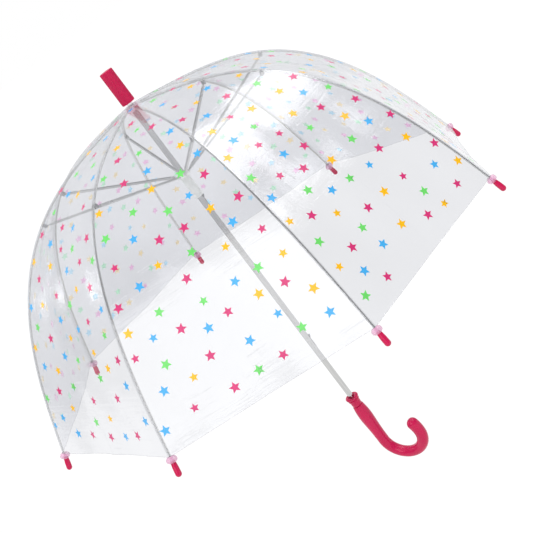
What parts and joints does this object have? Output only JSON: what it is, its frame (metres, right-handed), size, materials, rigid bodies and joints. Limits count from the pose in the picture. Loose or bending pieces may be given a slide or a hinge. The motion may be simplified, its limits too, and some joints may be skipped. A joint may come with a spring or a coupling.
{
  "type": "children's dome umbrella",
  "caption": "Child's clear dome umbrella, open, with a printed star pattern, crook handle, sliding runner and folding spring-steel ribs.",
  "frame": {"origin": "middle of the handle's straight grip, on the shaft's axis", "axes": "+Z along the shaft from the handle to the ferrule, +X the way the crook bends, +Y completes the right-handed frame"},
  "size_m": [0.7022, 0.7022, 0.6811],
  "materials": {
    "pink_plastic": "glossy moulded plastic, magenta pink",
    "runner_plastic": "milky translucent plastic",
    "shaft_steel": "bright plated steel tube",
    "rib_steel": "zinc-grey sheet steel channel",
    "spring_steel": "bare spring steel",
    "canopy_film": "clear soft film printed with small stars in pink, blue, yellow and green"
  },
  "bodies": {
    "root": {"shaft_tube": "shaft_steel", "ferrule": "pink_plastic", "crown_washer": "pink_plastic", "crown_hub": "pink_plastic", "crown_wire": "spring_steel", "handle_collar": "pink_plastic", "handle_hook": "pink_plastic"},
    "runner": {"runner": "runner_plastic"},
    "top_spring": {"top_spring": "spring_steel"},
    "bottom_spring": {"bottom_spring": "spring_steel"},
    "rib_1": {"rib_1": "rib_steel", "rib_clip_1": "rib_steel"},
    "rib_outer_1": {"rib_outer_1": "rib_steel", "tip_cap_1": "pink_plastic", "canopy_panel_1": "canopy_film"},
    "stretcher_1": {"stretcher_1": "rib_steel"},
    "rib_2": {"rib_2": "rib_steel", "rib_clip_2": "rib_steel"},
    "rib_outer_2": {"rib_outer_2": "rib_steel", "tip_cap_2": "pink_plastic", "canopy_panel_2": "canopy_film"},
    "stretcher_2": {"stretcher_2": "rib_steel"},
    "rib_3": {"rib_3": "rib_steel", "rib_clip_3": "rib_steel"},
    "rib_outer_3": {"rib_outer_3": "rib_steel", "tip_cap_3": "pink_plastic", "canopy_panel_3": "canopy_film"},
    "stretcher_3": {"stretcher_3": "rib_steel"},
    "rib_4": {"rib_4": "rib_steel", "rib_clip_4": "rib_steel"},
    "rib_outer_4": {"rib_outer_4": "rib_steel", "tip_cap_4": "pink_plastic", "canopy_panel_4": "canopy_film"},
    "stretcher_4": {"stretcher_4": "rib_steel"},
    "rib_5": {"rib_5": "rib_steel", "rib_clip_5": "rib_steel"},
    "rib_outer_5": {"rib_outer_5": "rib_steel", "tip_cap_5": "pink_plastic", "canopy_panel_5": "canopy_film"},
    "stretcher_5": {"stretcher_5": "rib_steel"},
    "rib_6": {"rib_6": "rib_steel", "rib_clip_6": "rib_steel"},
    "rib_outer_6": {"rib_outer_6": "rib_steel", "tip_cap_6": "pink_plastic", "canopy_panel_6": "canopy_film"},
    "stretcher_6": {"stretcher_6": "rib_steel"},
    "rib_7": {"rib_7": "rib_steel", "rib_clip_7": "rib_steel"},
    "rib_outer_7": {"rib_outer_7": "rib_steel", "tip_cap_7": "pink_plastic", "canopy_panel_7": "canopy_film"},
    "stretcher_7": {"stretcher_7": "rib_steel"},
    "rib_8": {"rib_8": "rib_steel", "rib_clip_8": "rib_steel"},
    "rib_outer_8": {"rib_outer_8": "rib_steel", "tip_cap_8": "pink_plastic", "canopy_panel_8": "canopy_film"},
    "stretcher_8": {"stretcher_8": "rib_steel"}
  },
  "joints": [
    {"name": "runner_slide", "type": "slide", "parent": "root", "child": "runner", "axis": [0, 0, -1], "range_m": [0, 0.24514], "deforming": ["top_spring", "bottom_spring", "canopy_panel_1", "canopy_panel_2", "canopy_panel_3", "canopy_panel_4", "canopy_panel_5", "canopy_panel_6", "canopy_panel_7", "canopy_panel_8"]},
    {"name": "rib_hinge_1", "type": "hinge", "parent": "root", "child": "rib_1", "pos_m": [0.01024, 0.00108, 0.5535], "axis": [-0.1045, 0.9945, 0], "range_deg": [0, 74.41]},
    {"name": "rib_flex_1", "type": "hinge", "parent": "rib_1", "child": "rib_outer_1", "pos_m": [0.18186, 0.01912, 0.50609], "axis": [-0.1045, 0.9945, 0], "range_deg": [-41.79, 0]},
    {"name": "stretcher_pivot_1", "type": "hinge", "parent": "rib_1", "child": "stretcher_1", "pos_m": [0.17614, 0.01851, 0.50414], "axis": [-0.1045, 0.9945, 0], "range_deg": [-145.34, 0]},
    {"name": "rib_hinge_2", "type": "hinge", "parent": "root", "child": "rib_2", "pos_m": [0.00648, 0.008, 0.5535], "axis": [-0.7771, 0.6293, 0], "range_deg": [0, 74.41]},
    {"name": "rib_flex_2", "type": "hinge", "parent": "rib_2", "child": "rib_outer_2", "pos_m": [0.11508, 0.14211, 0.50609], "axis": [-0.7771, 0.6293, 0], "range_deg": [-41.79, 0]},
    {"name": "stretcher_pivot_2", "type": "hinge", "parent": "rib_2", "child": "stretcher_2", "pos_m": [0.11146, 0.13764, 0.50414], "axis": [-0.7771, 0.6293, 0], "range_deg": [-145.34, 0]},
    {"name": "rib_hinge_3", "type": "hinge", "parent": "root", "child": "rib_3", "pos_m": [-0.00108, 0.01024, 0.5535], "axis": [-0.9945, -0.1045, 0], "range_deg": [0, 74.41]},
    {"name": "rib_flex_3", "type": "hinge", "parent": "rib_3", "child": "rib_outer_3", "pos_m": [-0.01912, 0.18186, 0.50609], "axis": [-0.9945, -0.1045, 0], "range_deg": [-41.79, 0]},
    {"name": "stretcher_pivot_3", "type": "hinge", "parent": "rib_3", "child": "stretcher_3", "pos_m": [-0.01851, 0.17614, 0.50414], "axis": [-0.9945, -0.1045, 0], "range_deg": [-145.34, 0]},
    {"name": "rib_hinge_4", "type": "hinge", "parent": "root", "child": "rib_4", "pos_m": [-0.008, 0.00648, 0.5535], "axis": [-0.6293, -0.7771, 0], "range_deg": [0, 74.41]},
    {"name": "rib_flex_4", "type": "hinge", "parent": "rib_4", "child": "rib_outer_4", "pos_m": [-0.14211, 0.11508, 0.50609], "axis": [-0.6293, -0.7771, 0], "range_deg": [-41.79, 0]},
    {"name": "stretcher_pivot_4", "type": "hinge", "parent": "rib_4", "child": "stretcher_4", "pos_m": [-0.13764, 0.11146, 0.50414], "axis": [-0.6293, -0.7771, 0], "range_deg": [-145.34, 0]},
    {"name": "rib_hinge_5", "type": "hinge", "parent": "root", "child": "rib_5", "pos_m": [-0.01024, -0.00108, 0.5535], "axis": [0.1045, -0.9945, 0], "range_deg": [0, 74.41]},
    {"name": "rib_flex_5", "type": "hinge", "parent": "rib_5", "child": "rib_outer_5", "pos_m": [-0.18186, -0.01912, 0.50609], "axis": [0.1045, -0.9945, 0], "range_deg": [-41.79, 0]},
    {"name": "stretcher_pivot_5", "type": "hinge", "parent": "rib_5", "child": "stretcher_5", "pos_m": [-0.17614, -0.01851, 0.50414], "axis": [0.1045, -0.9945, 0], "range_deg": [-145.34, 0]},
    {"name": "rib_hinge_6", "type": "hinge", "parent": "root", "child": "rib_6", "pos_m": [-0.00648, -0.008, 0.5535], "axis": [0.7771, -0.6293, 0], "range_deg": [0, 74.41]},
    {"name": "rib_flex_6", "type": "hinge", "parent": "rib_6", "child": "rib_outer_6", "pos_m": [-0.11508, -0.14211, 0.50609], "axis": [0.7771, -0.6293, 0], "range_deg": [-41.79, 0]},
    {"name": "stretcher_pivot_6", "type": "hinge", "parent": "rib_6", "child": "stretcher_6", "pos_m": [-0.11146, -0.13764, 0.50414], "axis": [0.7771, -0.6293, 0], "range_deg": [-145.34, 0]},
    {"name": "rib_hinge_7", "type": "hinge", "parent": "root", "child": "rib_7", "pos_m": [0.00108, -0.01024, 0.5535], "axis": [0.9945, 0.1045, 0], "range_deg": [0, 74.41]},
    {"name": "rib_flex_7", "type": "hinge", "parent": "rib_7", "child": "rib_outer_7", "pos_m": [0.01912, -0.18186, 0.50609], "axis": [0.9945, 0.1045, 0], "range_deg": [-41.79, 0]},
    {"name": "stretcher_pivot_7", "type": "hinge", "parent": "rib_7", "child": "stretcher_7", "pos_m": [0.01851, -0.17614, 0.50414], "axis": [0.9945, 0.1045, 0], "range_deg": [-145.34, 0]},
    {"name": "rib_hinge_8", "type": "hinge", "parent": "root", "child": "rib_8", "pos_m": [0.008, -0.00648, 0.5535], "axis": [0.6293, 0.7771, 0], "range_deg": [0, 74.41]},
    {"name": "rib_flex_8", "type": "hinge", "parent": "rib_8", "child": "rib_outer_8", "pos_m": [0.14211, -0.11508, 0.50609], "axis": [0.6293, 0.7771, 0], "range_deg": [-41.79, 0]},
    {"name": "stretcher_pivot_8", "type": "hinge", "parent": "rib_8", "child": "stretcher_8", "pos_m": [0.13764, -0.11146, 0.50414], "axis": [0.6293, 0.7771, 0], "range_deg": [-145.34, 0]},
    {"name": "top_spring_press", "type": "hinge", "parent": "root", "child": "top_spring", "pos_m": [0, 0, 0.3917], "axis": [-0.4772, 0.8788, 0], "range_deg": [-9, 0], "stiffness_Nm_per_rad": 0.05, "springref_deg": 8.59},
    {"name": "bottom_spring_press", "type": "hinge", "parent": "root", "child": "bottom_spring", "pos_m": [0, 0, 0.146], "axis": [-0.4772, 0.8788, 0], "range_deg": [-9, 0], "stiffness_Nm_per_rad": 0.05, "springref_deg": 8.59}
  ],
  "couplings": [
    {"joint": "rib_hinge_1", "follows": "runner_slide", "rad_per_m": 5.2623},
    {"joint": "rib_flex_1", "follows": "runner_slide", "rad_per_m": -2.9396},
    {"joint": "stretcher_pivot_1", "follows": "runner_slide", "rad_per_m": -10.313},
    {"joint": "rib_hinge_2", "follows": "runner_slide", "rad_per_m": 5.2623},
    {"joint": "rib_flex_2", "follows": "runner_slide", "rad_per_m": -2.9396},
    {"joint": "stretcher_pivot_2", "follows": "runner_slide", "rad_per_m": -10.313},
    {"joint": "rib_hinge_3", "follows": "runner_slide", "rad_per_m": 5.2623},
    {"joint": "rib_flex_3", "follows": "runner_slide", "rad_per_m": -2.9396},
    {"joint": "stretcher_pivot_3", "follows": "runner_slide", "rad_per_m": -10.313},
    {"joint": "rib_hinge_4", "follows": "runner_slide", "rad_per_m": 5.2623},
    {"joint": "rib_flex_4", "follows": "runner_slide", "rad_per_m": -2.9396},
    {"joint": "stretcher_pivot_4", "follows": "runner_slide", "rad_per_m": -10.313},
    {"joint": "rib_hinge_5", "follows": "runner_slide", "rad_per_m": 5.2623},
    {"joint": "rib_flex_5", "follows": "runner_slide", "rad_per_m": -2.9396},
    {"joint": "stretcher_pivot_5", "follows": "runner_slide", "rad_per_m": -10.313},
    {"joint": "rib_hinge_6", "follows": "runner_slide", "rad_per_m": 5.2623},
    {"joint": "rib_flex_6", "follows": "runner_slide", "rad_per_m": -2.9396},
    {"joint": "stretcher_pivot_6", "follows": "runner_slide", "rad_per_m": -10.313},
    {"joint": "rib_hinge_7", "follows": "runner_slide", "rad_per_m": 5.2623},
    {"joint": "rib_flex_7", "follows": "runner_slide", "rad_per_m": -2.9396},
    {"joint": "stretcher_pivot_7", "follows": "runner_slide", "rad_per_m": -10.313},
    {"joint": "rib_hinge_8", "follows": "runner_slide", "rad_per_m": 5.2623},
    {"joint": "rib_flex_8", "follows": "runner_slide", "rad_per_m": -2.9396},
    {"joint": "stretcher_pivot_8", "follows": "runner_slide", "rad_per_m": -10.313}
  ]
}
